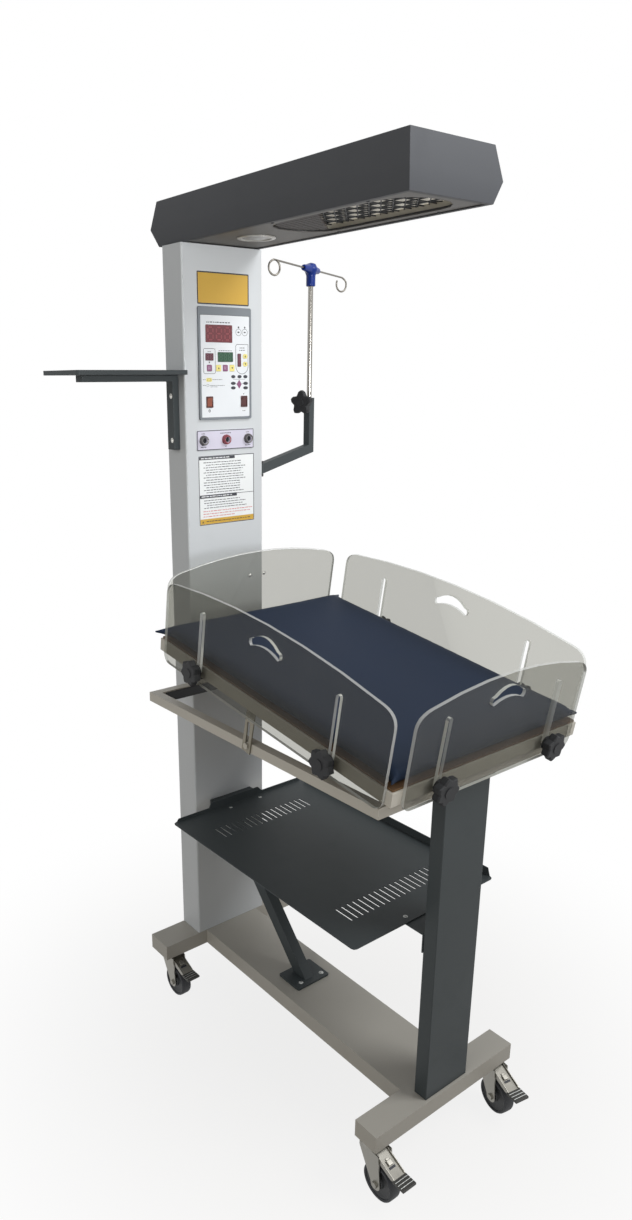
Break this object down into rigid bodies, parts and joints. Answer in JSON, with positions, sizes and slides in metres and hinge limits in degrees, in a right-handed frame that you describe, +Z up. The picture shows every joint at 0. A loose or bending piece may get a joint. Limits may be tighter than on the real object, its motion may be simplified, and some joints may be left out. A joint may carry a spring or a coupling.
{
  "type": "infant radiant warmer",
  "caption": "Infant radiant warmer: wheeled base, control column with heater hood, tilting mattress tray with clear drop-down guards, monitor shelf and drip pole",
  "frame": {"origin": "on the floor, under the middle of the part's outer box", "axes": "+Z up, -Y towards the foot end of the bed, +X to the right of someone who faces the column"},
  "size_m": [0.8768, 0.9752, 1.826],
  "materials": {
    "column_paint": "fine textured powder coat",
    "base_paint": "satin paint",
    "slate_paint": "satin paint",
    "hood_paint": "satin paint",
    "faceplate_paint": "satin paint",
    "black_paint": "matt paint",
    "bed_paint": "satin paint",
    "mirror_metal": "polished",
    "element_ceramic": "matt",
    "lamp_lens": "frosted",
    "bezel_plastic": "satin",
    "membrane_plastic": "satin film",
    "socket_plastic": "satin",
    "board_wood": "cut edge",
    "vinyl": "matt coated cloth",
    "clear_acrylic": "clear, polished edges",
    "knob_plastic": "fine grain",
    "zinc": "zinc plate",
    "chrome": "bright",
    "blue_plastic": "gloss",
    "tyre": "matt",
    "rocker_red": "gloss",
    "rocker_dark": "gloss",
    "key_plum": "satin",
    "key_yellow": "satin"
  },
  "bodies": {
    "stand": {"base_frame": "base_paint", "column": "column_paint", "column_rear_cover": "column_paint", "hood_shell": "hood_paint", "hood_faceplate": "faceplate_paint", "heater_guard": "black_paint", "reflector": "mirror_metal", "heater_element": "element_ceramic", "exam_lamp": "lamp_lens", "control_bezel": "bezel_plastic", "control_membrane": "membrane_plastic", "connector_plate": "socket_plastic", "front_post": "slate_paint", "rear_carrier": "black_paint", "bed_frame": "bed_paint", "lower_shelf": "slate_paint", "shelf_bracket": "slate_paint", "strut": "slate_paint", "monitor_bracket": "slate_paint", "monitor_shelf": "slate_paint", "drip_bracket": "black_paint"},
    "tray": {"tray_frame": "bed_paint", "tray_board": "board_wood", "mattress": "vinyl", "guard_head": "clear_acrylic"},
    "tilt_stay": {"tilt_stay": "zinc"},
    "guard_left": {"guard_left": "clear_acrylic"},
    "guard_right": {"guard_right": "clear_acrylic"},
    "guard_front": {"guard_front": "clear_acrylic"},
    "drip_arm": {"drip_arm_tube": "slate_paint"},
    "drip_knob": {"drip_knob": "knob_plastic"},
    "drip_pole": {"drip_pole": "chrome"},
    "drip_head": {"drip_cap": "blue_plastic", "drip_hooks": "chrome"},
    "rocker_heater": {"rocker_heater": "rocker_red"},
    "rocker_lamp": {"rocker_lamp": "rocker_dark"},
    "knob_left_foot": {"knob_left_foot": "knob_plastic"},
    "knob_left_head": {"knob_left_head": "knob_plastic"},
    "knob_right_foot": {"knob_right_foot": "knob_plastic"},
    "knob_right_head": {"knob_right_head": "knob_plastic"},
    "knob_front_left": {"knob_front_left": "knob_plastic"},
    "knob_front_right": {"knob_front_right": "knob_plastic"},
    "key_skin_set": {"key_skin_set": "key_plum"},
    "key_air_up": {"key_air_up": "key_yellow"},
    "key_air_set": {"key_air_set": "key_plum"},
    "key_air_down": {"key_air_down": "key_yellow"},
    "key_power_up": {"key_power_up": "key_yellow"},
    "key_power_down": {"key_power_down": "key_yellow"},
    "caster_front_left": {"caster_fork_front_left": "chrome"},
    "wheel_front_left": {"caster_wheel_front_left": "tyre"},
    "pedal_front_left": {"caster_pedal_front_left": "zinc"},
    "caster_front_right": {"caster_fork_front_right": "chrome"},
    "wheel_front_right": {"caster_wheel_front_right": "tyre"},
    "pedal_front_right": {"caster_pedal_front_right": "zinc"},
    "caster_rear_left": {"caster_fork_rear_left": "chrome"},
    "wheel_rear_left": {"caster_wheel_rear_left": "tyre"},
    "pedal_rear_left": {"caster_pedal_rear_left": "zinc"},
    "caster_rear_right": {"caster_fork_rear_right": "chrome"},
    "wheel_rear_right": {"caster_wheel_rear_right": "tyre"},
    "pedal_rear_right": {"caster_pedal_rear_right": "zinc"}
  },
  "joints": [
    {"name": "bed_tilt", "type": "hinge", "parent": "stand", "child": "tray", "pos_m": [-0.08213, -0.41178, 0.84098], "axis": [1, 0, 0], "range_deg": [-8.45, 0]},
    {"name": "stay_swing", "type": "hinge", "parent": "tray", "child": "tilt_stay", "pos_m": [-0.31913, -0.09912, 0.912], "axis": [1, 0, 0], "range_deg": [0, 9.8]},
    {"name": "guard_left_drop", "type": "slide", "parent": "tray", "child": "guard_left", "axis": [0, 0.1469, -0.9891], "range_m": [0, 0.117]},
    {"name": "guard_right_drop", "type": "slide", "parent": "tray", "child": "guard_right", "axis": [0, 0.1469, -0.9891], "range_m": [0, 0.117]},
    {"name": "guard_front_drop", "type": "slide", "parent": "tray", "child": "guard_front", "axis": [0, 0.1469, -0.9891], "range_m": [0, 0.117]},
    {"name": "knob_left_foot_turn", "type": "hinge", "parent": "tray", "child": "knob_left_foot", "pos_m": [-0.32878, -0.31881, 0.88341], "axis": [-1, 0, 0], "continuous": true},
    {"name": "knob_left_head_turn", "type": "hinge", "parent": "tray", "child": "knob_left_head", "pos_m": [-0.32878, 0.06004, 0.93969], "axis": [-1, 0, 0], "continuous": true},
    {"name": "knob_right_foot_turn", "type": "hinge", "parent": "tray", "child": "knob_right_foot", "pos_m": [0.16452, -0.31881, 0.88341], "axis": [1, 0, 0], "continuous": true},
    {"name": "knob_right_head_turn", "type": "hinge", "parent": "tray", "child": "knob_right_head", "pos_m": [0.16452, 0.06004, 0.93969], "axis": [1, 0, 0], "continuous": true},
    {"name": "knob_front_left_turn", "type": "hinge", "parent": "tray", "child": "knob_front_left", "pos_m": [-0.22413, -0.4604, 0.86237], "axis": [0, -0.9891, -0.1469], "continuous": true},
    {"name": "knob_front_right_turn", "type": "hinge", "parent": "tray", "child": "knob_front_right", "pos_m": [0.05987, -0.4604, 0.86237], "axis": [0, -0.9891, -0.1469], "continuous": true},
    {"name": "drip_arm_swing", "type": "hinge", "parent": "stand", "child": "drip_arm", "pos_m": [0.03787, 0.33523, 1.284], "axis": [0, 0, 1], "range_deg": [-30, 60]},
    {"name": "drip_pole_rise", "type": "slide", "parent": "drip_arm", "child": "drip_pole", "axis": [0, 0, 1], "range_m": [0, 0.06]},
    {"name": "drip_head_turn", "type": "hinge", "parent": "drip_pole", "child": "drip_head", "pos_m": [0.24156, 0.39751, 1.71], "axis": [0, 0, 1], "continuous": true},
    {"name": "drip_knob_turn", "type": "hinge", "parent": "drip_arm", "child": "drip_knob", "pos_m": [0.23075, 0.39421, 1.4258], "axis": [-0.9563, -0.2924, 0], "continuous": true},
    {"name": "rocker_heater_tip", "type": "hinge", "parent": "stand", "child": "rocker_heater", "pos_m": [-0.12523, 0.29743, 1.435], "axis": [1, 0, 0], "range_deg": [-18, 0]},
    {"name": "rocker_lamp_tip", "type": "hinge", "parent": "stand", "child": "rocker_lamp", "pos_m": [-0.03443, 0.29743, 1.435], "axis": [1, 0, 0], "range_deg": [-18, 0]},
    {"name": "key_skin_set_press", "type": "slide", "parent": "stand", "child": "key_skin_set", "axis": [0, 1, 0], "range_m": [0, 0.0006], "stiffness_N_per_m": 500},
    {"name": "key_air_up_press", "type": "slide", "parent": "stand", "child": "key_air_up", "axis": [0, 1, 0], "range_m": [0, 0.0006], "stiffness_N_per_m": 500},
    {"name": "key_air_set_press", "type": "slide", "parent": "stand", "child": "key_air_set", "axis": [0, 1, 0], "range_m": [0, 0.0006], "stiffness_N_per_m": 500},
    {"name": "key_air_down_press", "type": "slide", "parent": "stand", "child": "key_air_down", "axis": [0, 1, 0], "range_m": [0, 0.0006], "stiffness_N_per_m": 500},
    {"name": "key_power_up_press", "type": "slide", "parent": "stand", "child": "key_power_up", "axis": [0, 1, 0], "range_m": [0, 0.0006], "stiffness_N_per_m": 500},
    {"name": "key_power_down_press", "type": "slide", "parent": "stand", "child": "key_power_down", "axis": [0, 1, 0], "range_m": [0, 0.0006], "stiffness_N_per_m": 500},
    {"name": "caster_swivel_front_left", "type": "hinge", "parent": "stand", "child": "caster_front_left", "pos_m": [-0.25613, -0.38927, 0.11], "axis": [0, 0, 1], "continuous": true},
    {"name": "wheel_spin_front_left", "type": "hinge", "parent": "caster_front_left", "child": "wheel_front_left", "pos_m": [-0.25657, -0.41426, 0.0375], "axis": [0.9998, -0.0175, 0], "continuous": true},
    {"name": "pedal_press_front_left", "type": "hinge", "parent": "caster_front_left", "child": "pedal_front_left", "pos_m": [-0.25638, -0.40326, 0.098], "axis": [0.9998, -0.0175, 0], "range_deg": [0, 10]},
    {"name": "caster_swivel_front_right", "type": "hinge", "parent": "stand", "child": "caster_front_right", "pos_m": [0.09187, -0.38927, 0.11], "axis": [0, 0, 1], "continuous": true},
    {"name": "wheel_spin_front_right", "type": "hinge", "parent": "caster_front_right", "child": "wheel_front_right", "pos_m": [0.08753, -0.41389, 0.0375], "axis": [0.9848, -0.1736, 0], "continuous": true},
    {"name": "pedal_press_front_right", "type": "hinge", "parent": "caster_front_right", "child": "pedal_front_right", "pos_m": [0.08944, -0.40305, 0.098], "axis": [0.9848, -0.1736, 0], "range_deg": [0, 10]},
    {"name": "caster_swivel_rear_left", "type": "hinge", "parent": "stand", "child": "caster_rear_left", "pos_m": [-0.24313, 0.33523, 0.11], "axis": [0, 0, 1], "continuous": true},
    {"name": "wheel_spin_rear_left", "type": "hinge", "parent": "caster_rear_left", "child": "wheel_rear_left", "pos_m": [-0.2427, 0.31024, 0.0375], "axis": [0.9998, 0.0175, 0], "continuous": true},
    {"name": "pedal_press_rear_left", "type": "hinge", "parent": "caster_rear_left", "child": "pedal_rear_left", "pos_m": [-0.24289, 0.32124, 0.098], "axis": [0.9998, 0.0175, 0], "range_deg": [0, 10]},
    {"name": "caster_swivel_rear_right", "type": "hinge", "parent": "stand", "child": "caster_rear_right", "pos_m": [0.07887, 0.33523, 0.11], "axis": [0, 0, 1], "continuous": true},
    {"name": "wheel_spin_rear_right", "type": "hinge", "parent": "caster_rear_right", "child": "wheel_rear_right", "pos_m": [0.0589, 0.35028, 0.0375], "axis": [-0.6018, -0.7986, 0], "continuous": true},
    {"name": "pedal_press_rear_right", "type": "hinge", "parent": "caster_rear_right", "child": "pedal_rear_right", "pos_m": [0.06768, 0.34366, 0.098], "axis": [-0.6018, -0.7986, 0], "range_deg": [0, 10]}
  ],
  "couplings": [
    {"joint": "stay_swing", "follows": "bed_tilt", "ratio": -1.15}
  ]
}
